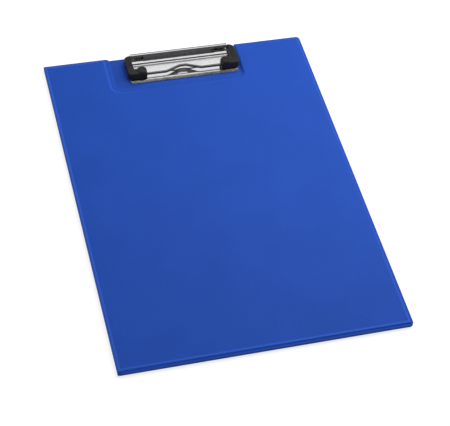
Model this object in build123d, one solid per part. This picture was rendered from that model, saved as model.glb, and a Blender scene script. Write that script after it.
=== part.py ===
from build123d import *
import os
from math import cos, pi, sin

os.makedirs("parts", exist_ok=True)

# A4 clipboard folder, closed: two welded plastic panels joined by a narrow fold, with a wire clip.
# Frame: +X to the free edge, -X the fold, +Y to the clip end, +Z up, z = 0 under the back panel.

# Panel outline
panel_width = 230.0
panel_length = 320.0
free_corner_radius = 4.5
least_corner_radius = 0.8
rim_width = 2.2
clip_edge_rim_width = 1.4
back_top_setback = 0.8

# Panel layers
skin_thickness = 0.5
board_thickness = 1.5
lining_thickness = 0.4
shoulder = 1.0
fold_shoulder_run = 3.2
fold_shoulder_drop = 0.6
board_side_clearance = 0.15

# Fold between the panels
panel_gap = 0.5
fold_inset = 1.0
fold_band_thickness = 0.9
fold_liner_thickness = 0.35
fold_clearance = 0.1
hinge_line_gap = 0.05
fold_end_chamfer = 0.6

# Notch in the cover round the clip
notch_left_gap = 11.5
notch_right_gap = 1.6
notch_front_gap = 4.8
notch_inner_radius = 5.0
notch_radius_share = 0.5
notch_left_mouth_radius = 4.0
notch_right_mouth_radius = 1.2
notch_rim_width = 4.6
notch_right_rim_width = 0.8

# Pocket inside the cover
pocket_thickness = 0.3
pocket_side_margin = 7.0
pocket_bottom_margin = 6.0
pocket_low_edge = -20.0
pocket_high_edge = 40.0
thumb_cut_radius = 14.0

# Clip base plate, a pressed sheet rolled into a barrel at its rear edge
clip_centre_x = 3.3
plate_depth = 28.4
plate_side_overhang = 4.2
plate_sheet = 0.7
plate_corner_radius = 1.2
lip_depth = 3.0
ridge_depth = 1.1
ridge_height = 0.9
step_run = 0.8
valley_depth = 4.8
flat_depth = 8.4
flat_rise = 0.6
groove_rise = 0.1
rib_rise = 0.5
rib_depth = 1.8

# Barrel and its windows
barrel_half_length = 43.2
barrel_sheet = 0.55
pivot_inset = 4.0
pivot_height = 4.0
window_length = 10.2
window_offset = 0.8
window_height = 3.4
window_depth = 2.1
window_rise = 0.4

# Bail, one bent wire
wire_diameter = 2.4
wire_sides = 16
bail_corner_radius = 3.4
bail_reach = 21.4
hump_reach = 5.0
hump_half_width = 15.4
hump_top_half_width = 3.0
hump_bend_radius = 5.0
tail_length = 16.0

# Corner caps on the bail
cap_half_width = 2.9
cap_end_gap = 0.3
foot_length = 16.3
foot_depth = 7.4
foot_height = 6.5
foot_front_lean = 0.6
foot_seat_gap = 0.1
heel_run = 1.4
cap_groove_clearance = 0.05
cap_tail_half_height = 2.3
cap_tail_overrun = 0.4
cap_edge_radius = 1.0
cap_corner_radius = 3.0
cap_tail_radius = 5.0
knob_radius = 4.2
knob_crown_radius = 3.0
knob_rise = 1.2
knob_skirt = 1.4
knob_overhang = 1.4

# Torsion springs round the tails of the bail
spring_wire = 0.6
spring_sides = 6
spring_turns = 5
spring_pitch = 1.7
spring_running_gap = 0.45
spring_points_per_turn = 72
barrel_running_gap = 0.2

# Rivets under the feet of the caps
rivet_side_inset = 4.2
rivet_head_radius = 2.2
rivet_head_height = 0.8
rivet_crown_radius = 1.5
rivet_shank_radius = 1.2
washer_radius = 2.1
washer_thickness = 0.4
rivet_tail_radius = 1.9
rivet_tail_height = 0.5
rivet_hole_clearance = 0.05

# Drawing aids: how far a cut runs past a face, and how near a corner counts as picked
cut_overrun = 1.0
pick_margin = 0.1

# Levels and places that follow
half_width = panel_width / 2
half_length = panel_length / 2
panel_thickness = skin_thickness + board_thickness + lining_thickness
back_face = panel_thickness
cover_base = back_face + panel_gap
folder_top = cover_base + panel_thickness
lower_fold_z = fold_inset
upper_fold_z = folder_top - fold_inset
fold_face = -half_width + fold_band_thickness + fold_clearance
board_inset = rim_width + shoulder + board_side_clearance
spring_radius = wire_diameter / 2 + spring_running_gap + spring_wire / 2
barrel_bore = spring_radius + spring_wire / 2 + barrel_running_gap
barrel_radius = barrel_bore + barrel_sheet
pivot_y = half_length - pivot_inset
pivot_z = back_face + pivot_height
clip_front_y = pivot_y - plate_depth
bar_y = pivot_y - bail_reach
plate_top = back_face + plate_sheet
plate_half_width = barrel_half_length + plate_side_overhang
foot_low = plate_top + ridge_height + foot_seat_gap
foot_high = foot_low + foot_height
arm_half_spacing = barrel_half_length + cap_end_gap + cap_half_width
window_middle = barrel_half_length - window_offset - window_length / 2
rivet_half_spacing = barrel_half_length - rivet_side_inset
rivet_y = clip_front_y + lip_depth + ridge_depth + step_run + valley_depth / 2
notch_left = clip_centre_x - arm_half_spacing - cap_half_width - notch_left_gap
notch_right = clip_centre_x + arm_half_spacing + cap_half_width + notch_right_gap
notch_bottom = clip_front_y - notch_front_gap


def outline(inset, fold_x, top_y):
    """Panel outline: free corners rounded, the fold edge straight at fold_x."""
    low, high, right = -half_length + inset, top_y - inset, half_width - inset
    corners = [(fold_x, low), (right, low), (right, high), (fold_x, high)]
    face = make_face(Polyline(*corners, close=True))
    rounded = face.vertices().filter_by(lambda v: v.X > 0)
    return fillet(rounded, max(free_corner_radius - inset, least_corner_radius))


def notch(growth, right_growth):
    """Cut for the clip, open at the top edge, grown outward by margins."""
    left, right = notch_left - growth, notch_right + right_growth
    low, high = notch_bottom - growth, half_length + notch_inner_radius + growth
    corners = [(left, low), (right, low), (right, high), (left, high)]
    face = make_face(Polyline(*corners, close=True))
    radius = notch_inner_radius + growth * notch_radius_share
    return fillet(face.vertices().sort_by(Axis.Y)[:2], radius)


def notched(sheet, growth, right_growth, top_y):
    """Sheet with the notch cut and the two corners at its mouth rounded."""
    cut = sheet - notch(growth, right_growth)
    left, right = notch_left - growth, notch_right + right_growth
    for x, radius in ((left, notch_left_mouth_radius), (right, notch_right_mouth_radius)):
        corner = cut.vertices().sort_by_distance((x, top_y, 0))[0]
        cut = fillet(corner, radius)
    return cut


def lift(shape, z):
    return Pos(0, 0, z) * shape


def disc(radius, height, z):
    """Upright cylinder with its lower face at z."""
    return lift(Cylinder(radius, height, align=(Align.CENTER, Align.CENTER, Align.MIN)), z)


def mirror_to_cover(shape):
    """Turn a back panel layer over, so that its outer face is up."""
    return Pos(0, 0, folder_top) * mirror(shape, about=Plane.XY)


def outer_skin(top_y, raised_top_y, with_notch):
    """Embossed skin of a panel, drawn with its outer face down at z = 0."""
    base = skin_thickness + board_thickness
    rim_sheet = outline(0, fold_face, top_y)
    raised_sheet = outline(rim_width, -half_width, raised_top_y)
    if with_notch:
        rim_sheet = notched(rim_sheet, 0, 0, top_y)
        raised_end = raised_top_y - rim_width
        raised_sheet = notched(raised_sheet, notch_rim_width, notch_right_rim_width, raised_end)
    raised = extrude(raised_sheet, base)
    low_edges = raised.faces().sort_by(Axis.Z)[0].edges()
    raised = chamfer(low_edges.filter_by(lambda e: e.center().X > pick_margin - half_width), shoulder)
    slope_end = fold_shoulder_run - half_width
    slope_points = [(-half_width, 0), (slope_end, 0), (-half_width, fold_shoulder_drop)]
    slope_section = Plane.XZ * make_face(Polyline(*slope_points, close=True))
    raised -= extrude(slope_section, panel_length, both=True)
    rim = lift(extrude(rim_sheet, skin_thickness), base - skin_thickness)
    relief_size = (2 * (fold_face + half_width), panel_length + 2 * cut_overrun, base)
    relief = Pos(-half_width, 0, fold_inset - hinge_line_gap + base / 2) * Box(*relief_size)
    return raised + rim - relief - board(raised_top_y, with_notch)


def board(top_y, with_notch):
    """Stiff board inside a panel, seated in the cavity of its skin."""
    sheet = outline(board_inset, fold_face + skin_thickness, top_y)
    if with_notch:
        margin = board_inset - rim_width
        left_margin, right_margin = notch_rim_width + margin, notch_right_rim_width + margin
        sheet = notched(sheet, left_margin, right_margin, top_y - board_inset)
    return lift(extrude(sheet, board_thickness), skin_thickness)


def lining(top_y, with_notch):
    """Flat inner sheet, welded to the rim of the skin."""
    sheet = outline(0, fold_face, top_y)
    if with_notch:
        sheet = notched(sheet, 0, 0, top_y)
    return lift(extrude(sheet, lining_thickness), skin_thickness + board_thickness)


def fold_band():
    """Outer sheet of the fold, hinged along its two long edges."""
    height = upper_fold_z - lower_fold_z
    outer = fold_band_thickness - fold_liner_thickness
    x = -half_width + outer / 2
    band = Pos(x, 0, (upper_fold_z + lower_fold_z) / 2) * Box(outer, panel_length, height)
    ends = band.edges().filter_by(Axis.X)
    return chamfer(ends, fold_end_chamfer)


def fold_liner():
    """Inner sheet of the fold, welded on the band."""
    height = upper_fold_z - lower_fold_z - 2 * fold_end_chamfer
    x = -half_width + fold_band_thickness - fold_liner_thickness / 2
    length = panel_length - 2 * fold_end_chamfer
    return Pos(x, 0, (upper_fold_z + lower_fold_z) / 2) * Box(fold_liner_thickness, length, height)


def cover_pocket():
    """Flat pocket sheet on the cover's lining, with a slanted mouth and a thumb cut."""
    left = fold_face + pocket_side_margin
    right = half_width - pocket_side_margin
    low = -half_length + pocket_bottom_margin
    corners = [(left, low), (right, low), (right, pocket_low_edge), (left, pocket_high_edge)]
    sheet = make_face(Polyline(*corners, close=True))
    sheet = fillet(sheet.vertices(), free_corner_radius)
    middle = ((left + right) / 2, (pocket_low_edge + pocket_high_edge) / 2)
    sheet = sheet - Pos(*middle) * Circle(thumb_cut_radius)
    return lift(extrude(sheet, pocket_thickness), cover_base - pocket_thickness)


def plate_path():
    """Middle line of the pressed plate from its front lip to the foot of the rear wall, as (y, z)."""
    steps = [(lip_depth, ridge_height), (ridge_depth, ridge_height), (step_run, 0), (valley_depth, 0)]
    steps += [(step_run, flat_rise), (flat_depth, flat_rise), (step_run, groove_rise)]
    steps += [(step_run, rib_rise), (rib_depth, rib_rise), (step_run, 0)]
    low = back_face + plate_sheet / 2
    points = [(clip_front_y, low)]
    for run, rise in steps:
        points.append((points[-1][0] + run, low + rise))
    return points + [(pivot_y, low)]


def base_plate():
    """Pressed clip plate with front lip, ridge, flat, rib, rivet channel, rear wall and rolled barrel."""
    path = plate_path()
    bottom = [(y, z - plate_sheet / 2) for y, z in path]
    top = [(y, z + plate_sheet / 2) for y, z in reversed(path)]
    section = Plane.YZ * make_face(Polyline(*bottom, *top, close=True))
    sheet = extrude(section, plate_half_width, both=True)
    sheet = fillet(sheet.edges().filter_by(Axis.Z), plate_corner_radius)
    wall_back = pivot_y + barrel_radius
    wall_front = wall_back - barrel_sheet
    wall_points = [(pivot_y, back_face), (wall_back, back_face), (wall_back, pivot_z)]
    wall_points += [(wall_front, pivot_z), (wall_front, plate_top), (pivot_y, plate_top)]
    wall = extrude(Plane.YZ * make_face(Polyline(*wall_points, close=True)), barrel_half_length, both=True)
    barrel_plane = Plane(origin=(0, pivot_y, pivot_z), z_dir=(1, 0, 0))
    barrel = extrude(barrel_plane * Circle(barrel_radius), barrel_half_length, both=True)
    bore = extrude(barrel_plane * Circle(barrel_bore), barrel_half_length + cut_overrun, both=True)
    plate = sheet + wall + barrel - bore
    for side in (-1, 1):
        window_spot = Pos(side * window_middle, pivot_y - barrel_radius, pivot_z + window_rise)
        plate -= window_spot * Box(window_length, 2 * window_depth, window_height)
    return Pos(clip_centre_x, 0, 0) * plate - rivet_hole(-1) - rivet_hole(1)


def bail_path():
    """Middle line of the bail: tail, arm, front bar with its hump, arm and tail."""
    inner_end = barrel_half_length - tail_length
    half = [(inner_end, pivot_y, pivot_z), (arm_half_spacing, pivot_y, pivot_z)]
    half += [(arm_half_spacing, bar_y, pivot_z), (hump_half_width, bar_y, pivot_z)]
    half += [(hump_top_half_width, bar_y + hump_reach, pivot_z)]
    left = [(-x, y, z) for x, y, z in half]
    corners = [bail_corner_radius, bail_corner_radius, hump_bend_radius, hump_bend_radius]
    return FilletPolyline(*left, *reversed(half), radius=corners + corners[::-1])


def bail():
    """The bent wire of the clip."""
    path = bail_path()
    start = Plane(origin=path @ 0, z_dir=path % 0)
    wire = sweep(start * RegularPolygon(wire_diameter / 2, wire_sides), path=path)
    return Pos(clip_centre_x, 0, 0) * wire


def cap_groove():
    """Groove under the right cap, into which the bent wire is pressed from below."""
    arm, start = arm_half_spacing, arm_half_spacing - foot_length
    points = [(start, bar_y), (arm, bar_y), (arm, pivot_y), (arm - 2 * cap_half_width, pivot_y)]
    path = FilletPolyline(*points, radius=bail_corner_radius)
    plan = trace(path, line_width=wire_diameter + 2 * cap_groove_clearance)
    return extrude(plan, pivot_z + wire_diameter / 2 + cap_groove_clearance)


def cap_plan():
    """Plan of the right cap: an L with a rounded tail on its outer side."""
    outer = arm_half_spacing + cap_half_width
    inner = arm_half_spacing - cap_half_width
    foot_end = outer - foot_length
    front = bar_y - foot_depth / 2
    back = front + foot_depth
    rear = pivot_y + cap_tail_overrun
    corners = [(outer, front), (outer, rear), (inner, rear)]
    corners += [(inner, back), (foot_end, back), (foot_end, front)]
    plan = make_face(Polyline(*corners, close=True))
    plan = fillet(plan.vertices().sort_by_distance((outer, front, 0))[0], cap_corner_radius)
    plan = fillet(plan.vertices().sort_by_distance((outer, rear, 0))[0], cap_tail_radius)
    for corner in corners[3:]:
        plan = fillet(plan.vertices().sort_by_distance((*corner, 0))[0], cap_edge_radius)
    return plan


def cap_profile():
    """Side view of a cap: the tall foot, and the arm that tapers to the hinge."""
    front = bar_y - foot_depth / 2
    back = front + foot_depth
    rear = pivot_y + cap_tail_overrun
    low, high = pivot_z - cap_tail_half_height, pivot_z + cap_tail_half_height
    corners = [(front, foot_low), (back, foot_low), (back + heel_run, low), (rear, low), (rear, high)]
    corners += [(back, foot_high), (front + foot_front_lean, foot_high)]
    profile = make_face(Polyline(*corners, close=True))
    for corner in ((rear, high, 0), (front + foot_front_lean, foot_high, 0)):
        profile = fillet(profile.vertices().sort_by_distance(corner)[0], cap_edge_radius)
    return profile


def cap_knob():
    """Round thumb pad on the foot of the right cap, standing out a little behind it."""
    x = arm_half_spacing + cap_half_width - foot_length + knob_radius
    y = bar_y + foot_depth / 2 + knob_overhang - knob_radius
    skirt = disc(knob_radius, knob_skirt, foot_high - knob_skirt)
    crown = lift(Cone(knob_radius, knob_crown_radius, knob_rise), foot_high + knob_rise / 2)
    return Pos(x, y, 0) * (skirt + crown)


def corner_cap(side):
    """L-shaped moulding over one corner of the bail: a foot over the ridge and an arm to the hinge."""
    cap = extrude(cap_plan(), foot_high) & extrude(Plane.YZ * cap_profile(), 2 * arm_half_spacing)
    cap = cap + cap_knob() - cap_groove()
    if side < 0:
        cap = mirror(cap, about=Plane.YZ)
    return Pos(clip_centre_x, 0, 0) * cap


def helix_point(turn):
    angle = 2 * pi * turn
    point = (spring_pitch * turn, spring_radius * cos(angle), spring_radius * sin(angle))
    slope = (spring_pitch, -2 * pi * spring_radius * sin(angle), 2 * pi * spring_radius * cos(angle))
    return Vector(*point), Vector(*slope).normalized()


def biarc(first, first_way, last, last_way):
    """Two tangent arcs between two points with given directions."""
    chord = last - first
    lean = first_way + last_way
    a = lean.dot(lean) - 4
    b = -2 * chord.dot(lean)
    c = chord.dot(chord)
    reach = (-b - (b * b - 4 * a * c) ** 0.5) / (2 * a)
    near, far = first + first_way * reach, last - last_way * reach
    middle = (near + far) * 0.5
    return [TangentArc(first, middle, tangent=first_way), TangentArc(middle, last, tangent=far - near)]


def spring_path():
    """Middle line of a coil, two arcs to each half turn."""
    arcs = []
    for half in range(2 * spring_turns):
        first, first_way = helix_point(half / 2)
        last, last_way = helix_point((half + 1) / 2)
        arcs += biarc(first, first_way, last, last_way)
    return Wire(arcs)


def least_spring_gap(path):
    """Smallest clear distance between turns of the coil, measured on points of its middle line."""
    count = spring_turns * spring_points_per_turn
    points = [path @ (i / count) for i in range(count + 1)]
    apart = spring_points_per_turn // 2
    pairs = [(points[i] - points[j]).length for i in range(count + 1) for j in range(i + apart, count + 1)]
    return min(pairs) - spring_wire


def torsion_spring(side):
    """Coil round a tail of the bail, one unbroken wire."""
    path = spring_path()
    start = Plane(origin=path @ 0, z_dir=path % 0)
    coil = sweep(start * RegularPolygon(spring_wire / 2, spring_sides), path=path)
    coil_length = spring_turns * spring_pitch
    coil = Pos(window_middle - coil_length / 2, pivot_y, pivot_z) * coil
    if side < 0:
        coil = mirror(coil, about=Plane.YZ)
    return Pos(clip_centre_x, 0, 0) * coil


def at_rivet(side, shape):
    return Pos(clip_centre_x + side * rivet_half_spacing, rivet_y, 0) * shape


def rivet(side):
    """Domed rivet through plate, lining and board, clenched on a washer inside the panel."""
    shank = disc(rivet_shank_radius, plate_top - skin_thickness, skin_thickness)
    head = Cone(rivet_head_radius, rivet_crown_radius, rivet_head_height)
    head = lift(head, plate_top + rivet_head_height / 2)
    tail = disc(rivet_tail_radius, rivet_tail_height, skin_thickness)
    return at_rivet(side, shank + head + tail)


def rivet_washer(side):
    """Washer between the board and the clenched end of a rivet."""
    low = skin_thickness + rivet_tail_height
    ring = disc(washer_radius, washer_thickness, low)
    ring -= disc(rivet_shank_radius + rivet_hole_clearance, washer_thickness, low)
    return at_rivet(side, ring)


def rivet_well(side):
    """Space for a rivet in the board: the hole and the counterbore for its washer."""
    hole = disc(rivet_shank_radius + rivet_hole_clearance, board_thickness, skin_thickness)
    well = disc(washer_radius + rivet_hole_clearance, rivet_tail_height + washer_thickness, skin_thickness)
    return at_rivet(side, hole + well)


def rivet_hole(side):
    """Hole for a rivet through the lining and the plate."""
    low = skin_thickness + board_thickness
    return at_rivet(side, disc(rivet_shank_radius + rivet_hole_clearance, plate_top - low, low))


back_top = half_length - back_top_setback
back_raised_top = back_top + rim_width - clip_edge_rim_width
pieces = {
    "back_outer_skin": outer_skin(back_top, back_raised_top, False),
    "back_board": board(back_raised_top, False) - rivet_well(-1) - rivet_well(1),
    "back_lining": lining(back_top, False) - rivet_hole(-1) - rivet_hole(1),
    "fold_band": fold_band(),
    "fold_liner": fold_liner(),
    "cover_outer_skin": mirror_to_cover(outer_skin(half_length, half_length, True)),
    "cover_board": mirror_to_cover(board(half_length, True)),
    "cover_lining": mirror_to_cover(lining(half_length, True)),
    "cover_pocket": cover_pocket(),
    "clip_base_plate": base_plate(),
    "bail_wire": bail(),
    "left_corner_cap": corner_cap(-1),
    "right_corner_cap": corner_cap(1),
    "left_spring": torsion_spring(-1),
    "right_spring": torsion_spring(1),
    "clip_rivets": Compound([rivet(-1), rivet(1)]),
    "rivet_washers": Compound([rivet_washer(-1), rivet_washer(1)]),
}

for name, shape in pieces.items():
    export_step(shape, f"parts/{name}.step")

print(f"least gap between turns of the springs: {least_spring_gap(spring_path()):.2f} mm")
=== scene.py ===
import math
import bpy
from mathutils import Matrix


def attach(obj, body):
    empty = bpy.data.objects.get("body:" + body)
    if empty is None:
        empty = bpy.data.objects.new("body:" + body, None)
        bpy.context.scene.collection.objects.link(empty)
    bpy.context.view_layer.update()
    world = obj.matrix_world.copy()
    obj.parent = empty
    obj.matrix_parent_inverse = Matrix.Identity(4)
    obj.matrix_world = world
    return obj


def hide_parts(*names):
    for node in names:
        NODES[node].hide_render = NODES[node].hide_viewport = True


bl_info = {
    "name": "Clipboard Folder",
    "version": (1, 0, 0),
    "blender": (4, 5, 0),
    "location": "3D View > Sidebar > Folder",
    "description": "Finishes a foldover clipboard folder round its packed CAD frame",
    "category": "Object",
}

import bmesh
import bpy
from mathutils import Matrix, Vector

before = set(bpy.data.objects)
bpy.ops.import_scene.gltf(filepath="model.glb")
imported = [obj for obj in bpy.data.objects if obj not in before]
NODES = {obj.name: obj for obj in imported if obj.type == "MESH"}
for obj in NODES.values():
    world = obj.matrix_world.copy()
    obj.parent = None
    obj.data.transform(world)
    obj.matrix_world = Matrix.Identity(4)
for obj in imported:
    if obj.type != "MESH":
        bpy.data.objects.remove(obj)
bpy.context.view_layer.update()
MM = 0.001

# Camera fitted to the photograph: place in metres, angles in degrees, lens in millimetres
CAMERA_PLACE = (-0.24741, -0.71690, 0.88742)
CAMERA_AZIMUTH = -19.676
CAMERA_ELEVATION = 50.318
CAMERA_ROLL = 7.056
CAMERA_LENS = 114.745
SENSOR_WIDTH = 36.0
CLIP_START = 0.01

# Panels, as in the CAD source
HALF_LENGTH = 160.0 * MM
PANEL_HIGH_X = 115.0 * MM
FOLD_FACE = -114.0 * MM
HINGE_GAP = 0.05 * MM
PANEL_TOP = 5.3 * MM
BACK_TOP = 159.2 * MM
BACK_TOP_MARGIN = 0.9 * MM
RIM_LOW = 3.3 * MM
RIM_EDGE = 3.68 * MM
RIM_CHAMFER = (0.22 * MM, 0.12 * MM)
RAISED_LOW = 3.4 * MM
RIM_TOP = 3.8 * MM

# Roll from the border up to the raised middle: its start, then steps inwards and upwards
ROLL_START = 1.5 * MM
ROLL_STEPS = ((0.45, 0.50), (0.45, 0.38), (0.45, 0.28), (0.50, 0.19), (0.55, 0.10), (0.60, 0.05))
FOLD_ROLL_RUN = 4.8 * MM
FOLD_DROP = 0.82 * MM
FOLD_ROLL_POWER = 1.7
FOLD_UNDERSIDE = 4.4 * MM

# Notch round the clip: left, right and lower edge, and the radii of its corners
NOTCH = (-57.5 * MM, 54.2 * MM, 122.8 * MM)
NOTCH_INNER = 5.0 * MM
NOTCH_MOUTH_LEFT = 4.0 * MM
NOTCH_MOUTH_RIGHT = 1.2 * MM
RAISED_NOTCH = (-61.4 * MM, 54.4 * MM, 118.9 * MM)
RAISED_NOTCH_INNER = 6.5 * MM
RAISED_NOTCH_MOUTH = 3.4 * MM

# Clip: its middle, and the axis of the barrel
CLIP_X = 3.3 * MM
PIVOT_Y = 156.0 * MM
PIVOT_Z = 6.4 * MM

# Base plate from its front edge backwards: runs and rises in millimetres
LIP_STEP = (3.0, 0.9)
PLATE_STEPS = (
    (1.1, 0.0),  # top of the lip
    (0.8, -0.9),
    (4.8, 0.0),  # rivet channel
    (0.8, 0.6),
    (8.4, 0.0),  # flat
    (0.8, -0.5),
    (0.8, 0.4),
    (1.8, 0.0),  # rib
    (0.8, -0.5),
    (5.2, 0.0),  # tail under the barrel
)

# Barrel: half length, and the windows' ends, front limit and heights
BARREL_HALF = 43.2 * MM
WINDOW_ENDS = (32.2 * MM, 42.4 * MM)
WINDOW_FRONT = PIVOT_Y - 1.0 * MM
WINDOW_HEIGHTS = (5.1 * MM, 8.5 * MM)
ROLL_TURN = -285.0

# Painted highlight along the rolled edges: distances from the folder's middle plane at which
# it comes and goes, and how much lighter the blue is painted there
HIGHLIGHT_FROM = (1.85 * MM, 2.3 * MM)
HIGHLIGHT_TO = (2.52 * MM, 2.635 * MM)
HIGHLIGHT_GAIN = 1.5
HIGHLIGHT_LIFT = 0.009

NEAR = 0.02 * MM
MERGE = 0.001 * MM
LEVEL = 0.9  # least rise of a level face's normal
NOISE_SPAN = (0.3, 0.7)  # where most values of a noise lie

# Softboxes: name, place, aim, side, and the setting that holds the power
SOFTBOXES = (
    ("overhead_softbox", (0.0, -0.1, 1.5), (0.0, 0.0, 0.0), 1.4, "overhead_power"),
    ("left_softbox", (-1.1, 0.35, 0.9), (0.0, 0.0, 0.0), 1.1, "left_power"),
    ("right_softbox", (0.26, 0.165, 0.35), (0.05, 0.1, 0.0), 0.6, "right_power"),
)

# Dark cards: name, width and depth, place, tilt in degrees
FLAGS = (
    ("front_flag", (4.6, 2.9), (0.0, -0.47, 0.9), 43.6),
    ("rear_flag", (3.6, 1.2), (0.0, 1.6, 0.605), 90.0),
)
CARD_GLOW = 0.085
FLOOR_DROP = 0.02 * MM
FLOOR_SHADE = 0.36
FLOOR_GLOW = 0.75
FLOOR_BOUNCE = 0.8


# ---------------------------------------------------------------- properties


class FolderSizes(bpy.types.PropertyGroup):
    """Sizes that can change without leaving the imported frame"""

    corner_radius: bpy.props.FloatProperty(
        name="Panel corner radius",
        description="Radius of the outer corners of both panels",
        default=3.2 * MM,
        min=0.5 * MM,
        max=6.0 * MM,
        precision=5,
        unit="LENGTH",
    )
    plate_gauge: bpy.props.FloatProperty(
        name="Base plate gauge",
        description="Thickness of the pressed base plate",
        default=0.7 * MM,
        min=0.3 * MM,
        max=1.0 * MM,
        precision=5,
        unit="LENGTH",
    )
    barrel_gauge: bpy.props.FloatProperty(
        name="Barrel gauge",
        description="Thickness of the rolled barrel and of the strip in front of it",
        default=0.5 * MM,
        min=0.2 * MM,
        max=0.6 * MM,
        precision=5,
        unit="LENGTH",
    )
    cap_round: bpy.props.FloatProperty(
        name="Cap edge round",
        description="Radius of the small rounds along the edges of the corner caps",
        default=0.75 * MM,
        min=0.1 * MM,
        max=1.0 * MM,
        precision=5,
        unit="LENGTH",
    )
    pad_radius: bpy.props.FloatProperty(
        name="Thumb pad radius",
        description="Radius of the round pad on the foot of each cap",
        default=4.2 * MM,
        min=3.0 * MM,
        max=4.6 * MM,
        precision=5,
        unit="LENGTH",
    )
    spring_gauge: bpy.props.FloatProperty(
        name="Spring wire gauge",
        description="Diameter of the spring wire",
        default=0.6 * MM,
        min=0.3 * MM,
        max=0.8 * MM,
        precision=5,
        unit="LENGTH",
    )
    rivet_head: bpy.props.FloatProperty(
        name="Rivet head",
        description="Diameter of the rivet heads",
        default=4.4 * MM,
        min=3.0 * MM,
        max=5.0 * MM,
        precision=5,
        unit="LENGTH",
    )


class FolderColours(bpy.types.PropertyGroup):
    """Colours of the folder's own materials"""

    cover_sheet: bpy.props.FloatVectorProperty(
        name="Cover sheet",
        description="Colour of the grained outer sheet",
        subtype="COLOR",
        size=3,
        min=0.0,
        max=1.0,
        default=(0.0176, 0.0725, 0.401),
    )
    lining_sheet: bpy.props.FloatVectorProperty(
        name="Lining",
        description="Colour of the smooth inner sheets",
        subtype="COLOR",
        size=3,
        min=0.0,
        max=1.0,
        default=(0.0165, 0.066, 0.37),
    )
    board: bpy.props.FloatVectorProperty(
        name="Grey board",
        description="Colour of the stiff boards inside the panels",
        subtype="COLOR",
        size=3,
        min=0.0,
        max=1.0,
        default=(0.35, 0.33, 0.30),
    )
    chrome: bpy.props.FloatVectorProperty(
        name="Chrome",
        description="Reflected colour of the bright plating",
        subtype="COLOR",
        size=3,
        min=0.0,
        max=1.0,
        default=(0.76, 0.76, 0.77),
    )
    moulding: bpy.props.FloatVectorProperty(
        name="Corner caps",
        description="Colour of the moulded caps",
        subtype="COLOR",
        size=3,
        min=0.0,
        max=1.0,
        default=(0.0235, 0.023, 0.0225),
    )
    wire: bpy.props.FloatVectorProperty(
        name="Bail wire",
        description="Reflected colour of the plated wire",
        subtype="COLOR",
        size=3,
        min=0.0,
        max=1.0,
        default=(0.38, 0.37, 0.36),
    )
    spring: bpy.props.FloatVectorProperty(
        name="Springs",
        description="Reflected colour of the spring wire and washers",
        subtype="COLOR",
        size=3,
        min=0.0,
        max=1.0,
        default=(0.85, 0.85, 0.85),
    )
    rivet: bpy.props.FloatVectorProperty(
        name="Rivets",
        description="Reflected colour of the rivets",
        subtype="COLOR",
        size=3,
        min=0.0,
        max=1.0,
        default=(0.6, 0.6, 0.59),
    )


class StageSettings(bpy.types.PropertyGroup):
    """Floor and lights"""

    floor_size: bpy.props.FloatProperty(
        name="Floor size",
        description="Side of the floor",
        default=8.0,
        min=1.0,
        unit="LENGTH",
    )
    world_level: bpy.props.FloatProperty(
        name="World level",
        description="Strength of the even light from all round",
        default=0.235,
        min=0.0,
    )
    overhead_power: bpy.props.FloatProperty(
        name="Overhead light",
        description="Power of the large light above the folder",
        default=6.0,
        min=0.0,
    )
    left_power: bpy.props.FloatProperty(
        name="Left light",
        description="Power of the light at the fold side",
        default=3.0,
        min=0.0,
    )
    right_power: bpy.props.FloatProperty(
        name="Right light",
        description="Power of the light beside the clip, at the right",
        default=2.5,
        min=0.0,
    )


# ---------------------------------------------------------------- materials


def fresh_tree(owner):
    """Empty node tree of a material or world"""
    owner.use_nodes = True
    owner.node_tree.nodes.clear()
    return owner.node_tree


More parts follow.
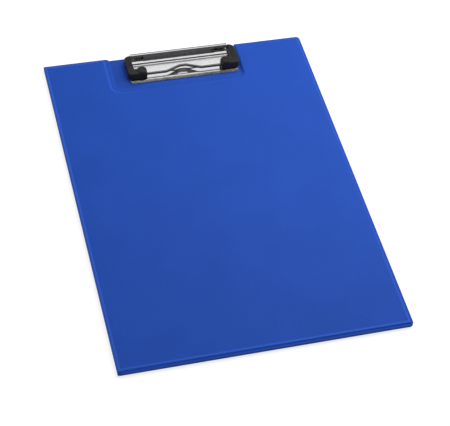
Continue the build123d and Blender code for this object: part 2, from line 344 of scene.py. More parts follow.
class Shader:
    """A node material being put together, with short words for its nodes and links"""

    def __init__(self, name):
        self.material = bpy.data.materials.new(name)
        self.tree = fresh_tree(self.material)
        output = self.add("ShaderNodeOutputMaterial")
        self.surface = self.add("ShaderNodeBsdfPrincipled")
        self.link(self.surface.outputs[0], output.inputs["Surface"])
        self.place = self.add("ShaderNodeTexCoord").outputs["Object"]

    def add(self, kind, **values):
        node = self.tree.nodes.new(kind)
        for key, value in values.items():
            setattr(node, key, value)
        return node

    def link(self, source, target):
        self.tree.links.new(source, target)

    def noise(self, scale, detail=2.0, roughness=0.5, stretch=None):
        """Noise of a given scale, in cells per metre, read at the piece's own place"""
        node = self.add("ShaderNodeTexNoise")
        node.inputs["Scale"].default_value = scale
        node.inputs["Detail"].default_value = detail
        node.inputs["Roughness"].default_value = roughness
        place = self.place
        if stretch:
            mapping = self.add("ShaderNodeMapping")
            mapping.inputs["Scale"].default_value = stretch
            self.link(place, mapping.inputs["Vector"])
            place = mapping.outputs[0]
        self.link(place, node.inputs["Vector"])
        return node.outputs["Fac"]

    def pebbles(self, scale, smooth):
        """Rounded cells of a given scale, in cells per metre"""
        node = self.add("ShaderNodeTexVoronoi", feature="SMOOTH_F1")
        node.inputs["Scale"].default_value = scale
        node.inputs["Smoothness"].default_value = smooth
        self.link(self.place, node.inputs["Vector"])
        return node.outputs["Distance"]

    def shade(self, source, colour, low, high):
        """A colour made darker and lighter by a noise, between two factors"""
        node = self.add("ShaderNodeValToRGB")
        for element, stop, factor in zip(node.color_ramp.elements, NOISE_SPAN, (low, high)):
            element.position = stop
            element.color = (*(min(c * factor, 1.0) for c in colour), 1.0)
        self.link(source, node.inputs["Fac"])
        return node.outputs["Color"]

    def spread(self, source, low, high, span=NOISE_SPAN):
        """Map a span of values onto a range"""
        node = self.add("ShaderNodeMapRange")
        node.inputs["From Min"].default_value = span[0]
        node.inputs["From Max"].default_value = span[1]
        node.inputs["To Min"].default_value = low
        node.inputs["To Max"].default_value = high
        self.link(source, node.inputs["Value"])
        return node.outputs["Result"]

    def math(self, operation, *values):
        node = self.add("ShaderNodeMath", operation=operation)
        for socket, value in zip(node.inputs, values):
            if isinstance(value, bpy.types.NodeSocket):
                self.link(value, socket)
            else:
                socket.default_value = value
        return node.outputs[0]

    def blend(self, parts):
        """Sum of noises, each with its weight"""
        weighed = [self.math("MULTIPLY", source, weight) for source, weight in parts]
        total = weighed[0]
        for part in weighed[1:]:
            total = self.math("ADD", total, part)
        return total

    def mix(self, share, first, second):
        """Mix the colour of a socket with a plain colour"""
        node = self.add("ShaderNodeMix", data_type="RGBA")
        self.link(share, node.inputs["Factor"])
        self.link(first, node.inputs[6])
        node.inputs[7].default_value = (*second, 1.0)
        return node.outputs[2]

    def bump(self, height, distance, strength):
        node = self.add("ShaderNodeBump")
        node.inputs["Distance"].default_value = distance
        node.inputs["Strength"].default_value = strength
        self.link(height, node.inputs["Height"])
        return node.outputs["Normal"]

    def set(self, **values):
        """Set or link sockets of the surface, named with _ for a space"""
        for key, value in values.items():
            socket = self.surface.inputs[key.replace("_", " ")]
            if isinstance(value, bpy.types.NodeSocket):
                self.link(value, socket)
            else:
                socket.default_value = value


def grained_vinyl(name, colour):
    """Blue plastic sheet embossed with a fine leather grain, with a highlight painted along the
    crest of its rolled edges
    """
    shader = Shader(name)
    cloud = shader.noise(26.0, detail=3.0, roughness=0.55)
    pebble = shader.pebbles(1150.0, smooth=0.35)
    wrinkle = shader.noise(520.0, detail=4.0, roughness=0.6)
    pore = shader.noise(3600.0)
    height = shader.blend([(pebble, 0.8), (wrinkle, 0.9), (pore, 0.25)])
    plain = shader.shade(cloud, colour, 0.96, 1.04)
    # Lighter blue painted on the crest of the edge rolls, in place of the highlight the light
    # gives there
    highlit = tuple(HIGHLIGHT_GAIN * c + HIGHLIGHT_LIFT for c in colour)
    shader.set(
        Base_Color=shader.mix(painted_ridge_highlight(shader), plain, highlit),
        Roughness=shader.spread(wrinkle, 0.42, 0.56),
        Normal=shader.bump(height, distance=0.22 * MM, strength=0.5),
        Specular_IOR_Level=0.05,
    )
    return shader.material


def painted_ridge_highlight(shader):
    """Share of painted highlight along the crests of the rolled edges, strongest at the fold and
    the bottom, the sides the light falls on
    """
    split = shader.add("ShaderNodeSeparateXYZ")
    shader.link(shader.place, split.inputs[0])
    level = shader.math("ABSOLUTE", shader.math("SUBTRACT", split.outputs["Z"], PANEL_TOP / 2))
    rising = shader.spread(level, 0.0, 1.0, span=HIGHLIGHT_FROM)
    falling = shader.spread(level, 1.0, 0.0, span=HIGHLIGHT_TO)
    left = shader.math("DIVIDE", split.outputs["X"], -PANEL_HIGH_X)
    low = shader.math("DIVIDE", split.outputs["Y"], -HALF_LENGTH)
    # The painted highlight grows towards the left and the bottom, where the light falls most on
    # the rolls
    lit_side = shader.spread(shader.math("MAXIMUM", left, low), 0.25, 1.0, span=(0.3, 0.9))
    return shader.math("MULTIPLY", shader.math("MULTIPLY", rising, falling), lit_side)


def smooth_vinyl(name, colour):
    """Smooth calendered sheet with a faint press mark"""
    shader = Shader(name)
    cloud = shader.noise(40.0)
    press = shader.noise(900.0, detail=3.0, roughness=0.55)
    shader.set(
        Base_Color=shader.shade(cloud, colour, 0.95, 1.05),
        Roughness=shader.spread(press, 0.34, 0.46),
        Normal=shader.bump(press, distance=0.08 * MM, strength=0.4),
        Specular_IOR_Level=0.1,
    )
    return shader.material


def pressed_board(name, colour):
    """Recycled grey board with short fibres"""
    shader = Shader(name)
    fibre = shader.noise(700.0, detail=5.0, roughness=0.65, stretch=(1.0, 0.35, 2.0))
    speck = shader.noise(2600.0, roughness=0.6)
    mixed = shader.blend([(fibre, 0.7), (speck, 0.3)])
    shader.set(
        Base_Color=shader.shade(mixed, colour, 0.8, 1.12),
        Roughness=0.9,
        Normal=shader.bump(mixed, distance=0.15 * MM, strength=0.5),
    )
    return shader.material


def bright_chrome(name, colour):
    """Bright plating over pressed steel, with faint drawing marks along the clip"""
    shader = Shader(name)
    marks = shader.noise(1400.0, stretch=(0.06, 1.0, 1.0))
    haze = shader.noise(160.0, detail=3.0, roughness=0.6)
    shader.set(
        Base_Color=shader.shade(haze, colour, 0.93, 1.05),
        Metallic=1.0,
        Roughness=shader.spread(haze, 0.10, 0.18),
        Normal=shader.bump(marks, distance=0.01 * MM, strength=0.35),
    )
    return shader.material


def drawn_steel(name, colour, roughness):
    """Plain drawn or clenched steel"""
    shader = Shader(name)
    marks = shader.noise(2600.0, detail=3.0, roughness=0.55)
    shader.set(
        Base_Color=shader.shade(marks, colour, 0.85, 1.1),
        Metallic=1.0,
        Roughness=shader.spread(marks, roughness * 0.8, roughness * 1.2),
        Normal=shader.bump(marks, distance=0.01 * MM, strength=0.3),
    )
    return shader.material


def black_moulding(name, colour):
    """Satin moulded plastic"""
    shader = Shader(name)
    spark = shader.noise(3000.0, roughness=0.55)
    cloud = shader.noise(120.0)
    shader.set(
        Base_Color=shader.shade(cloud, colour, 0.85, 1.2),
        Roughness=shader.spread(spark, 0.28, 0.42),
        Normal=shader.bump(spark, distance=0.03 * MM, strength=0.35),
        Specular_IOR_Level=0.15,
    )
    return shader.material


def dress_node(node, material):
    """Give a CAD node that stays in view its finish"""
    data = NODES[node].data
    if not data.materials:
        data.materials.append(material)
    for index in range(len(data.materials)):
        data.materials[index] = material


def finish(name, maker, colour, **values):
    """The named material, made once"""
    return bpy.data.materials.get(name) or maker(name, tuple(colour), **values)


def vinyl_finish(context):
    return finish("grained_vinyl", grained_vinyl, context.scene.folder_colours.cover_sheet)


def spring_finish(context):
    colour = context.scene.folder_colours.spring
    return finish("spring_wire", drawn_steel, colour, roughness=0.5)


# ---------------------------------------------------------------- modelling by hand


def activate(piece):
    """Select one piece alone"""
    bpy.ops.object.select_all(action="DESELECT")
    piece.select_set(True)
    bpy.context.view_layer.objects.active = piece


def start_sheet(name, low, high, z):
    """A rectangle between two corners, left in edit mode"""
    bpy.ops.object.select_all(action="DESELECT")
    bpy.ops.mesh.primitive_plane_add(size=1.0)
    piece = bpy.context.object
    piece.name = name
    bpy.ops.object.mode_set(mode="EDIT")
    bpy.ops.transform.resize(value=(high[0] - low[0], high[1] - low[1], 1.0))
    move((low[0] + high[0]) / 2, (low[1] + high[1]) / 2, z)
    return piece


def start_round(name, radius, depth, place, sides):
    """A short upright round bar, left in edit mode"""
    bpy.ops.object.select_all(action="DESELECT")
    bpy.ops.mesh.primitive_cylinder_add(
        vertices=sides, radius=radius, depth=depth, location=place
    )
    piece = bpy.context.object
    piece.name = name
    bpy.ops.object.transform_apply(location=True, rotation=True, scale=True)
    bpy.ops.object.mode_set(mode="EDIT")
    return piece


def pick(piece, kind, test):
    """Select the corners, edges or faces that pass a test of themselves and their middle"""
    bpy.ops.mesh.select_mode(type=kind)
    bpy.ops.mesh.select_all(action="DESELECT")
    mesh = bmesh.from_edit_mesh(piece.data)
    groups = {"VERT": mesh.verts, "EDGE": mesh.edges, "FACE": mesh.faces}
    count = 0
    for item in groups[kind]:
        if kind == "VERT":
            middle = item.co
        elif kind == "EDGE":
            middle = (item.verts[0].co + item.verts[1].co) / 2
        else:
            middle = item.calc_center_median()
        if test(item, middle):
            item.select_set(True)
            count += 1
    bmesh.update_edit_mesh(piece.data)
    if count == 0:
        raise RuntimeError(f"{piece.name}: nothing to pick")


def near(a, b, reach=NEAR):
    return abs(a - b) < reach


def level_face_at(height):
    """Test for an upward face at a height"""
    return lambda face, middle: near(middle.z, height) and face.normal.z > LEVEL


def level_edge_at(height):
    """Test for an edge with both ends at a height"""
    return lambda edge, middle: all(near(vert.co.z, height) for vert in edge.verts)


def move(x, y, z):
    bpy.ops.transform.translate(value=(x, y, z))


def extrude(x, y, z):
    bpy.ops.mesh.extrude_region_move(TRANSFORM_OT_translate={"value": (x, y, z)})


def bevel(radius, segments, affect="EDGES"):
    bpy.ops.mesh.bevel(offset=radius, segments=segments, affect=affect, offset_type="OFFSET")


def slice_across(place, normal):
    """Cut new edges along a plane through the whole piece"""
    bpy.ops.mesh.select_all(action="SELECT")
    bpy.ops.mesh.bisect(plane_co=place, plane_no=normal)


def round_corner(piece, x, y, radius, segments=8):
    """Round the corner of a flat sheet that lies at a given place"""
    pick(piece, "VERT", lambda v, c: near(c.x, x) and near(c.y, y))
    bevel(radius, segments, affect="VERTICES")


def modify(piece, kind, **values):
    """Add a modifier and apply it"""
    modifier = piece.modifiers.new(kind.lower(), kind)
    for key, value in values.items():
        setattr(modifier, key, value)
    bpy.ops.object.modifier_apply(modifier=modifier.name)


def round_edges(piece, width, segments, angle):
    """Round all edges sharper than an angle in degrees"""
    limit = math.radians(angle)
    modify(
        piece, "BEVEL", width=width, segments=segments, limit_method="ANGLE", angle_limit=limit
    )


def leave_edit(piece):
    """Merge doubles, point the faces outwards and go back to object mode"""
    bpy.ops.mesh.select_all(action="SELECT")
    bpy.ops.mesh.remove_doubles(threshold=MERGE)
    bpy.ops.mesh.normals_make_consistent(inside=False)
    bpy.ops.object.mode_set(mode="OBJECT")
    activate(piece)


def thicken(piece, gauge, edge, test):
    """Leave a drawn sheet facing up where a test says, thicken it below and round its edges"""
    leave_edit(piece)
    faces = [face for face in piece.data.polygons if test(face.center)]
    if sum(face.normal.z * face.area for face in faces) < 0:
        bpy.ops.object.mode_set(mode="EDIT")
        bpy.ops.mesh.select_all(action="SELECT")
        bpy.ops.mesh.flip_normals()
        bpy.ops.object.mode_set(mode="OBJECT")
    modify(piece, "SOLIDIFY", thickness=gauge, offset=-1.0, use_even_offset=True)
    round_edges(piece, edge, segments=2, angle=55)


def shift(piece, x, y, z):
    """Move a finished shape inside its mesh"""
    activate(piece)
    bpy.ops.object.mode_set(mode="EDIT")
    bpy.ops.mesh.select_all(action="SELECT")
    move(x, y, z)
    bpy.ops.object.mode_set(mode="OBJECT")


def mirrored_copy(piece, name):
    """Copy of a clip piece, mirrored across the clip's middle, with its own mesh"""
    activate(piece)
    bpy.ops.object.duplicate(linked=False)
    other = bpy.context.object
    other.name = name
    bpy.ops.object.mode_set(mode="EDIT")
    bpy.ops.mesh.select_all(action="SELECT")
    bpy.ops.transform.resize(value=(-1, 1, 1), center_override=(0, 0, 0))
    leave_edit(other)
    return other


def join(pieces, name):
    """Join shapes into the first of them"""
    bpy.ops.object.select_all(action="DESELECT")
    for piece in pieces:
        piece.select_set(True)
    bpy.context.view_layer.objects.active = pieces[0]
    bpy.ops.object.join()
    pieces[0].name = name
    return pieces[0]


def seat(piece, node, body, material, angle=35.0):
    """Smooth and dress a finished piece, and let it stand for its node"""
    activate(piece)
    bpy.ops.object.shade_smooth_by_angle(angle=math.radians(angle))
    piece.data.materials.clear()
    piece.data.materials.append(material)
    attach(piece, body)
    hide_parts(node)


# ---------------------------------------------------------------- panels


def flat_plan(name, left, right, low, high, z, cut=None):
    """Flat sheet, with the clip's notch cut out of its top edge where a notch is given"""
    piece = start_sheet(name, (left, low), (right, high), z)
    if cut:
        cut_left, cut_right, cut_low = cut
        slice_across((cut_left, 0, 0), (1, 0, 0))
        slice_across((cut_right, 0, 0), (1, 0, 0))
        slice_across((0, cut_low, 0), (0, 1, 0))
        pick(piece, "FACE", lambda f, c: cut_left < c.x < cut_right and c.y > cut_low)
        bpy.ops.mesh.delete(type="FACE")
        bpy.ops.mesh.select_all(action="SELECT")
        bpy.ops.mesh.dissolve_limited(angle_limit=math.radians(1))
    return piece


def raise_sheet(height):
    """Draw the whole flat sheet up to a solid"""
    bpy.ops.mesh.select_mode(type="FACE")
    bpy.ops.mesh.select_all(action="SELECT")
    extrude(0, 0, height)


def rim_sheet(name, top, cut, radius):
    """Thin welded border of a panel"""
    right = PANEL_HIGH_X
    piece = flat_plan(name, FOLD_FACE, right, -HALF_LENGTH, top, RIM_LOW, cut)
    round_corner(piece, right, -HALF_LENGTH, radius)
    round_corner(piece, right, top, radius)
    if cut:
        cut_left, cut_right, cut_low = cut
        round_corner(piece, cut_left, cut_low, NOTCH_INNER)
        round_corner(piece, cut_right, cut_low, NOTCH_INNER)
        round_corner(piece, cut_left, top, NOTCH_MOUTH_LEFT)
        round_corner(piece, cut_right, top, NOTCH_MOUTH_RIGHT, segments=4)
    raise_sheet(RIM_EDGE - RIM_LOW)
    pick(piece, "FACE", level_face_at(RIM_EDGE))
    inward, upward = RIM_CHAMFER
    bpy.ops.mesh.inset(thickness=inward, depth=upward)
    leave_edit(piece)
    return piece


def raised_sheet(name, top_margin, top, cut):
    """Raised middle of a panel, rolled down to the border all round"""
    right, high = PANEL_HIGH_X - ROLL_START, top - top_margin
    left, low = -PANEL_HIGH_X + HINGE_GAP, -HALF_LENGTH + ROLL_START
    piece = flat_plan(name, left, right, low, high, RAISED_LOW, cut)
    if cut:
        cut_left, cut_right, cut_low = cut
        round_corner(piece, cut_left, cut_low, RAISED_NOTCH_INNER)
        round_corner(piece, cut_right, cut_low, RAISED_NOTCH_INNER)
        round_corner(piece, cut_left, high, RAISED_NOTCH_MOUTH)
    raise_sheet(RIM_TOP - RAISED_LOW)
    height = RIM_TOP
    for inward, upward in ROLL_STEPS:
        pick(piece, "FACE", level_face_at(height))
        bpy.ops.mesh.inset(thickness=inward * MM, depth=upward * MM)
        height += upward * MM
    sink_fold_edge(piece, left)
    leave_edit(piece)
    return piece


def sink_fold_edge(piece, left):
    """Roll the face down to the hinge line, and cut its underside back to clear the fold"""
    for x in (FOLD_FACE, left + FOLD_ROLL_RUN):
        slice_across((x, 0, 0), (1, 0, 0))
    mesh = bmesh.from_edit_mesh(piece.data)
    for vert in mesh.verts:
        run = vert.co.x - left
        if near(vert.co.z, RAISED_LOW):
            if vert.co.x < FOLD_FACE + NEAR:
                vert.co.z = FOLD_UNDERSIDE
        elif run < FOLD_ROLL_RUN - NEAR:
            sunk = FOLD_DROP * (1.0 - run / FOLD_ROLL_RUN) ** FOLD_ROLL_POWER
            vert.co.z = max(vert.co.z, PANEL_TOP - sunk)
    bmesh.update_edit_mesh(piece.data)


def turn_over(piece):
    """Turn a cover layer over into the back panel's place"""
    bpy.ops.object.mode_set(mode="EDIT")
    bpy.ops.mesh.select_all(action="SELECT")
    bpy.ops.transform.resize(value=(1, 1, -1), center_override=(0, 0, PANEL_TOP / 2))
    leave_edit(piece)


# ---------------------------------------------------------------- clip


def pressed_sheet(name, gauge):
    """Base plate: sloped lip, rivet channel, flat, groove and rib, pressed in one sheet"""
    half, front, low = 47.4 * MM, 127.6 * MM, 3.1 * MM
    front_radius, back_radius, crease_radius, edge = 1.5 * MM, 1.2 * MM, 0.34 * MM, 0.16 * MM
    lip_run, lip_rise = (step * MM for step in LIP_STEP)
    piece = start_sheet(name, (-half, front), (half, front + lip_run), low)
    pick(piece, "EDGE", lambda e, c: near(c.y, front + lip_run))
    move(0, 0, lip_rise)
    for run, rise in PLATE_STEPS:
        extrude(0, run * MM, rise * MM)
    back = front + lip_run + sum(run for run, rise in PLATE_STEPS) * MM
    for side in (-half, half):
        round_corner(piece, side, front, front_radius, segments=5)
        round_corner(piece, side, back, back_radius, segments=5)
    pick(piece, "EDGE", lambda e, c: near(c.x, 0) and front + NEAR < c.y < back - NEAR)
    bevel(crease_radius, segments=4)
    thicken(piece, gauge, edge, lambda c: c.y > 0)
    return piece


def barrel_apron(name, gauge):
    """Gently rising strip between the flat of the base plate and the barrel"""
    front, back, low, rise, edge = 150.2 * MM, 153.7 * MM, 4.0 * MM, 0.72 * MM, 0.12 * MM
    piece = start_sheet(name, (-BARREL_HALF, front), (BARREL_HALF, back), low)
    pick(piece, "EDGE", lambda e, c: near(c.y, back))
    move(0, 0, rise)
    thicken(piece, gauge, edge, lambda c: c.y > 0)
    return piece


def rolled_barrel(name, gauge):
    """Rear of the base plate, turned up and rolled round the bail's tails, with two windows"""
    radius, low, foot, heel, edge = 3.0 * MM, 2.45 * MM, 0.3 * MM, 1.5 * MM, 0.1 * MM
    back, crown = PIVOT_Y + radius, PIVOT_Z + 2.5 * MM
    piece = start_sheet(name, (-BARREL_HALF, PIVOT_Y - foot), (BARREL_HALF, back), low)
    pick(piece, "EDGE", lambda e, c: near(c.y, back))
    extrude(0, 0, PIVOT_Z - low)
    axis = (0, PIVOT_Y, PIVOT_Z)
    bpy.ops.mesh.spin(steps=36, angle=math.radians(ROLL_TURN), center=axis, axis=(1, 0, 0))
    pick(piece, "EDGE", lambda e, c: near(c.y, back) and near(c.z, low))
    bevel(heel, segments=6)
    near_end, far_end = WINDOW_ENDS
    for x in (near_end, far_end, -near_end, -far_end):
        slice_across((x, 0, 0), (1, 0, 0))
    sill, head = WINDOW_HEIGHTS

    def in_window(face, middle):
        across = near_end < abs(middle.x) < far_end
        return across and middle.y < WINDOW_FRONT and sill < middle.z < head

    pick(piece, "FACE", in_window)
    bpy.ops.mesh.delete(type="FACE")
    thicken(piece, gauge, edge, lambda c: c.z > crown)
    return piece


def corner_moulding(name, sizes):
    """Right corner cap: a foot with a thumb pad and a tapering arm with a rounded tail"""
    outer, inner, end = 49.3 * MM, 43.5 * MM, 33.0 * MM
    front, back, rear = 130.9 * MM, 138.3 * MM, 156.4 * MM
    low, high, tail_high = 4.1 * MM, 10.6 * MM, 8.7 * MM
    lean, slack, pad_y = 0.7 * MM, 0.5 * MM, 135.5 * MM
    piece = start_sheet(name, (end, front), (inner, back), low)
    pick(piece, "EDGE", lambda e, c: near(c.x, inner))
    extrude(outer - inner, 0, 0)
    pick(piece, "EDGE", lambda e, c: near(c.y, back) and c.x > inner)
    extrude(0, rear - back, 0)
    raise_sheet(high - low)
    pick(piece, "VERT", lambda v, c: near(c.y, rear) and near(c.z, high))
    move(0, 0, tail_high - high)
    pick(piece, "VERT", lambda v, c: near(c.y, front) and near(c.z, high))
    move(0, lean, 0)
    for y, radius in ((front, 3.0 * MM), (rear, 5.0 * MM)):
        pick(piece, "EDGE", lambda e, c: near(c.x, outer) and near(c.y, y, slack) and upright(e))
        bevel(radius, segments=8)
    leave_edit(piece)
    round_edges(piece, sizes.cap_round, segments=4, angle=38)
    radius = sizes.pad_radius
    pad = thumb_pad(name + "_pad", radius, (end + radius, pad_y), high)
    return join([piece, pad], name)


def upright(edge, least=2.0 * MM):
    return abs(edge.verts[0].co.z - edge.verts[1].co.z) > least


def thumb_pad(name, radius, place, foot_top):
    """Round domed pad that stands on the foot of a cap"""
    low, top = foot_top - 1.4 * MM, foot_top + 1.2 * MM
    edge_radius, dish_rim, dish_depth = 1.25 * MM, 0.9 * MM, 0.18 * MM
    pad = start_round(name, radius, top - low, (*place, (low + top) / 2), sides=40)
    pick(pad, "EDGE", level_edge_at(top))
    bevel(edge_radius, segments=6)
    pick(pad, "FACE", level_face_at(top))
    bpy.ops.mesh.inset(thickness=dish_rim, depth=-dish_depth)
    leave_edit(pad)
    return pad


def coil_spring(name, gauge):
    """Right torsion spring: five turns of round wire, with a short leg at each end"""
    coil_radius, pitch, turns, steps = 1.95 * MM, 1.7 * MM, 5, 28
    leg, reach, start_x = 1.0 * MM, 0.7 * MM, 33.05 * MM
    bpy.ops.object.select_all(action="DESELECT")
    bpy.ops.mesh.primitive_circle_add(
        vertices=10, radius=gauge / 2, location=(0, coil_radius, 0)
    )
    piece = bpy.context.object
    piece.name = name
    bpy.ops.object.transform_apply(location=True, rotation=True, scale=True)
    modify(
        piece,
        "SCREW",
        use_merge_vertices=True,
        merge_threshold=MERGE,
        axis="X",
        angle=math.tau,
        screw_offset=pitch,
        steps=steps,
        render_steps=steps,
        iterations=turns,
    )
    bpy.ops.object.mode_set(mode="EDIT")
    bpy.ops.mesh.select_all(action="SELECT")
    bpy.ops.mesh.remove_doubles(threshold=MERGE)
    for x, rise in ((0.0, -leg), (pitch * turns, leg)):
        pick(piece, "EDGE", lambda e, c: e.is_boundary and near(c.x, x, reach))
        extrude(0, 0, rise)
        bpy.ops.mesh.edge_face_add()
    leave_edit(piece)
    shift(piece, start_x, PIVOT_Y, PIVOT_Z)
    return piece


def rivet_shapes(name, head_width):
    """Two domed rivets under the feet of the caps"""
    side, y, head_low, head_high, dome = 39.0 * MM, 134.9 * MM, 3.1 * MM, 3.9 * MM, 0.7 * MM
    shank_radius, shank_low, shank_high, rim = 1.2 * MM, 0.5 * MM, 3.1 * MM, 0.3 * MM
    rivets = []
    for x in (CLIP_X - side, CLIP_X + side):
        place = (x, y, (head_low + head_high) / 2)
        head = start_round(name, head_width / 2, head_high - head_low, place, sides=32)
        pick(head, "EDGE", level_edge_at(head_high))
        bevel(dome, segments=5)
        leave_edit(head)
        place = (x, y, (shank_low + shank_high) / 2)
        length = shank_high - shank_low
        shank = start_round(name + "_shank", shank_radius, length, place, sides=20)
        pick(shank, "FACE", lambda f, c: near(c.z, shank_low))
        bpy.ops.mesh.inset(thickness=rim, depth=0.0)
        leave_edit(shank)
        rivets += [head, shank]
    return join(rivets, name)


# ---------------------------------------------------------------- operators


class FOLDER_OT_cover(bpy.types.Operator):
    """Grained outer sheet of the cover, with its notch for the clip"""

    bl_idname = "folder.cover"
    bl_label = "Cover sheet"

    def execute(self, context):
        radius = context.scene.folder_sizes.corner_radius
        rim = rim_sheet("cover_sheet", HALF_LENGTH, NOTCH, radius)
        middle = raised_sheet("cover_sheet_middle", ROLL_START, HALF_LENGTH, RAISED_NOTCH)
        cover = join([rim, middle], "cover_sheet")
        seat(cover, "cover_outer_skin", "cover", vinyl_finish(context))
        return {"FINISHED"}


class FOLDER_OT_back(bpy.types.Operator):
    """Grained outer sheet of the back panel"""

    bl_idname = "folder.back"
    bl_label = "Back sheet"

    def execute(self, context):
        radius = context.scene.folder_sizes.corner_radius
        rim = rim_sheet("back_sheet", BACK_TOP, None, radius)
        middle = raised_sheet("back_sheet_middle", BACK_TOP_MARGIN, BACK_TOP, None)
        back = join([rim, middle], "back_sheet")
        turn_over(back)
        seat(back, "back_outer_skin", "back_panel", vinyl_finish(context))
        return {"FINISHED"}


class FOLDER_OT_inner_layers(bpy.types.Operator):
    """Finishes of the CAD parts that stay in view: fold, linings, pocket, boards, wire, washers"""

    bl_idname = "folder.inner_layers"
    bl_label = "Layers kept from the CAD frame"

    def execute(self, context):
        colours = context.scene.folder_colours
        lining = finish("smooth_lining", smooth_vinyl, colours.lining_sheet)
        board = finish("pressed_grey_board", pressed_board, colours.board)
        wire = finish("plated_wire", drawn_steel, colours.wire, roughness=0.13)
        dress_node("fold_band", vinyl_finish(context))
        for node in ("back_lining", "cover_lining", "cover_pocket", "fold_liner"):
            dress_node(node, lining)
        for node in ("back_board", "cover_board"):
            dress_node(node, board)
        dress_node("bail_wire", wire)
        dress_node("rivet_washers", spring_finish(context))
        return {"FINISHED"}


class FOLDER_OT_base_plate(bpy.types.Operator):
    """Pressed base plate of the clip with its rolled barrel"""

    bl_idname = "folder.base_plate"
    bl_label = "Base plate"

    def execute(self, context):
        sizes = context.scene.folder_sizes
        sheets = [
            pressed_sheet("base_plate", sizes.plate_gauge),
            barrel_apron("base_plate_apron", sizes.barrel_gauge),
            rolled_barrel("base_plate_barrel", sizes.barrel_gauge),
        ]
        plate = join(sheets, "base_plate")
        shift(plate, CLIP_X, 0, 0)
        chrome = finish("bright_chrome", bright_chrome, context.scene.folder_colours.chrome)
        seat(plate, "clip_base_plate", "back_panel", chrome, angle=12.0)
        return {"FINISHED"}


class FOLDER_OT_corner_caps(bpy.types.Operator):
    """Two black corner caps of the bail, mirror images of each other"""

    bl_idname = "folder.corner_caps"
    bl_label = "Corner caps"

    def execute(self, context):
        colours = context.scene.folder_colours
        moulding = finish("black_moulding", black_moulding, colours.moulding)
        right = corner_moulding("cap_right", context.scene.folder_sizes)
        left = mirrored_copy(right, "cap_left")
        for cap, node in ((left, "left_corner_cap"), (right, "right_corner_cap")):
            shift(cap, CLIP_X, 0, 0)
            seat(cap, node, "bail", moulding, angle=30.0)
        return {"FINISHED"}


class FOLDER_OT_springs(bpy.types.Operator):
    """Two torsion springs inside the barrel, mirror images of each other"""

    bl_idname = "folder.springs"
    bl_label = "Springs"

    def execute(self, context):
        right = coil_spring("spring_right", context.scene.folder_sizes.spring_gauge)
        left = mirrored_copy(right, "spring_left")
        for coil, node in ((left, "left_spring"), (right, "right_spring")):
            shift(coil, CLIP_X, 0, 0)
            seat(coil, node, "back_panel", spring_finish(context))
        return {"FINISHED"}


class FOLDER_OT_rivets(bpy.types.Operator):
    """Two rivets that hold the base plate to the back panel"""

    bl_idname = "folder.rivets"
    bl_label = "Rivets"

    def execute(self, context):
        colours = context.scene.folder_colours
        metal = finish("rivet_metal", drawn_steel, colours.rivet, roughness=0.25)
        rivets = rivet_shapes("rivets", context.scene.folder_sizes.rivet_head)
        seat(rivets, "clip_rivets", "back_panel", metal)
        return {"FINISHED"}


class FOLDER_OT_stage(bpy.types.Operator):
    """Floor, lights and camera"""

    bl_idname = "folder.stage"
    bl_label = "Stage"

    def execute(self, context):
        settings = context.scene.folder_stage
        make_floor(settings)
        make_world(settings)
        for name, place, aim, side, power in SOFTBOXES:
            softbox(name, place, aim, side, getattr(settings, power))
        card = black_card()
        for name, size, place, tilt in FLAGS:
            dark_flag(name, size, place, tilt, card)
        make_camera(context.scene)
        context.scene.view_settings.view_transform = "Standard"
        return {"FINISHED"}


def shader_node(tree, kind, **values):
    """A shader with values set on its own sockets"""
    node = tree.nodes.new(kind)
    for name, value in values.items():
        node.inputs[name].default_value = value
    return node.outputs[0]


def even_grey(level):
    return (level, level, level, 1.0)


def show(tree, kind, backdrop, lit):
    """Show the backdrop to the camera and to reflections, and the lit shader to the rest"""
    path = tree.nodes.new("ShaderNodeLightPath")
    seen = path.outputs["Is Camera Ray"]
    for other in ("Is Glossy Ray", "Is Transmission Ray"):
        either = tree.nodes.new("ShaderNodeMath")
        either.operation = "MAXIMUM"
        tree.links.new(seen, either.inputs[0])
        tree.links.new(path.outputs[other], either.inputs[1])
        seen = either.outputs[0]
    mix = tree.nodes.new("ShaderNodeMixShader")
    for socket, source in zip(mix.inputs, (seen, lit, backdrop)):
        tree.links.new(source, socket)
    output = tree.nodes.new(kind)
    tree.links.new(mix.outputs[0], output.inputs["Surface"])


def make_floor(settings):
    """White table that keeps the folder's shadow"""
    bpy.ops.object.select_all(action="DESELECT")
    bpy.ops.mesh.primitive_plane_add(size=settings.floor_size, location=(0, 0, -FLOOR_DROP))
    floor = bpy.context.object
    floor.name = "floor"
    material = bpy.data.materials.new("white_table")
    tree = fresh_tree(material)
    both = tree.nodes.new("ShaderNodeAddShader")
    diffuse = shader_node(tree, "ShaderNodeBsdfDiffuse", Color=even_grey(FLOOR_SHADE))
    glow = shader_node(tree, "ShaderNodeEmission", Strength=FLOOR_GLOW)
    tree.links.new(diffuse, both.inputs[0])
    tree.links.new(glow, both.inputs[1])
    plain = shader_node(tree, "ShaderNodeBsdfDiffuse", Color=even_grey(FLOOR_BOUNCE))
    show(tree, "ShaderNodeOutputMaterial", both.outputs[0], plain)
    floor.data.materials.append(material)


def make_world(settings):
    """White to the camera and to reflections, and an even light to the rest"""
    world = bpy.context.scene.world or bpy.data.worlds.new("studio")
    bpy.context.scene.world = world
    tree = fresh_tree(world)
    white = even_grey(1.0)
    seen = shader_node(tree, "ShaderNodeBackground", Color=white, Strength=1.0)
    lit = shader_node(tree, "ShaderNodeBackground", Color=white, Strength=settings.world_level)
    show(tree, "ShaderNodeOutputWorld", seen, lit)


def black_card():
    """Finish of the dark cards, which give back a little light"""
    material = bpy.data.materials.new("black_card")
    tree = fresh_tree(material)
    card = shader_node(tree, "ShaderNodeEmission", Strength=CARD_GLOW)
    output = tree.nodes.new("ShaderNodeOutputMaterial")
    tree.links.new(card, output.inputs["Surface"])
    return material


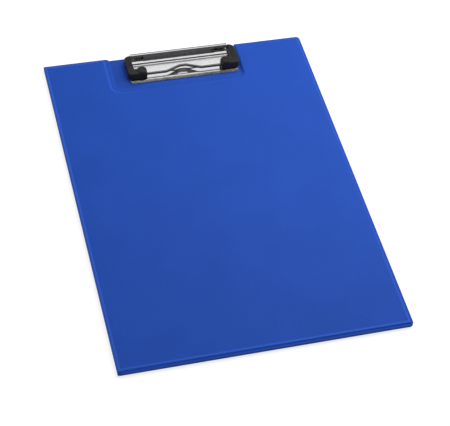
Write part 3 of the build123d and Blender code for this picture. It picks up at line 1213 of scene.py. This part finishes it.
def dark_flag(name, size, place, tilt, material):
    """Dark card that only reflections see, so that bright metal has something to show"""
    bpy.ops.object.select_all(action="DESELECT")
    bpy.ops.mesh.primitive_plane_add(size=1.0)
    flag = bpy.context.object
    flag.name = name
    flag.scale = (*size, 1.0)
    flag.rotation_euler = (math.radians(tilt), 0.0, 0.0)
    flag.location = place
    bpy.ops.object.transform_apply(location=True, rotation=True, scale=True)
    flag.visible_camera = False
    flag.visible_diffuse = False
    flag.visible_shadow = False
    flag.visible_transmission = False
    flag.data.materials.append(material)


def softbox(name, place, aim, side, power):
    """Square light that neither the camera nor a reflection sees"""
    light = bpy.data.lights.new(name, "AREA")
    light.shape = "SQUARE"
    light.size = side
    light.energy = power
    lamp = bpy.data.objects.new(name, light)
    bpy.context.collection.objects.link(lamp)
    lamp.location = place
    lamp.rotation_euler = (Vector(aim) - Vector(place)).to_track_quat("-Z", "Y").to_euler()
    lamp.visible_camera = False
    lamp.visible_glossy = False


def make_camera(scene):
    """Camera at the photograph's viewing angle"""
    azimuth = math.radians(CAMERA_AZIMUTH)
    elevation = math.radians(CAMERA_ELEVATION)
    roll = math.radians(CAMERA_ROLL)
    away = math.cos(elevation)
    back = Vector((math.sin(azimuth) * away, -math.cos(azimuth) * away, math.sin(elevation)))
    level = Vector((math.cos(azimuth), math.sin(azimuth), 0.0))
    rising = back.cross(level)
    right = level * math.cos(roll) + rising * math.sin(roll)
    up = rising * math.cos(roll) - level * math.sin(roll)
    data = bpy.data.cameras.new("photo_camera")
    data.lens = CAMERA_LENS
    data.sensor_width = SENSOR_WIDTH
    data.clip_start = CLIP_START
    camera = bpy.data.objects.new("photo_camera", data)
    bpy.context.collection.objects.link(camera)
    rotation = Matrix((right, up, back)).transposed().to_4x4()
    camera.matrix_world = Matrix.Translation(CAMERA_PLACE) @ rotation
    scene.camera = camera


class FOLDER_PT_sidebar(bpy.types.Panel):
    """Lists the folder's sizes, colours, stage settings and makers"""

    bl_idname = "FOLDER_PT_sidebar"
    bl_label = "Clipboard Folder"
    bl_space_type = "VIEW_3D"
    bl_region_type = "UI"
    bl_category = "Folder"

    def draw(self, context):
        layout = self.layout
        scene = context.scene
        for settings in (scene.folder_sizes, scene.folder_colours, scene.folder_stage):
            for name in type(settings).__annotations__:
                layout.prop(settings, name)
        for operator in MAKERS:
            layout.operator(operator.bl_idname)


MAKERS = (
    FOLDER_OT_stage,
    FOLDER_OT_cover,
    FOLDER_OT_back,
    FOLDER_OT_inner_layers,
    FOLDER_OT_base_plate,
    FOLDER_OT_corner_caps,
    FOLDER_OT_springs,
    FOLDER_OT_rivets,
)
CLASSES = (FolderSizes, FolderColours, StageSettings, *MAKERS, FOLDER_PT_sidebar)


def register():
    for cls in CLASSES:
        bpy.utils.register_class(cls)
    bpy.types.Scene.folder_sizes = bpy.props.PointerProperty(type=FolderSizes)
    bpy.types.Scene.folder_colours = bpy.props.PointerProperty(type=FolderColours)
    bpy.types.Scene.folder_stage = bpy.props.PointerProperty(type=StageSettings)


def unregister():
    del bpy.types.Scene.folder_stage
    del bpy.types.Scene.folder_colours
    del bpy.types.Scene.folder_sizes
    for cls in reversed(CLASSES):
        bpy.utils.unregister_class(cls)


def main():
    register()
    bpy.ops.folder.stage()
    bpy.ops.folder.cover()
    bpy.ops.folder.back()
    bpy.ops.folder.inner_layers()
    bpy.ops.folder.base_plate()
    bpy.ops.folder.corner_caps()
    bpy.ops.folder.springs()
    bpy.ops.folder.rivets()


if __name__ == "__main__":
    main()
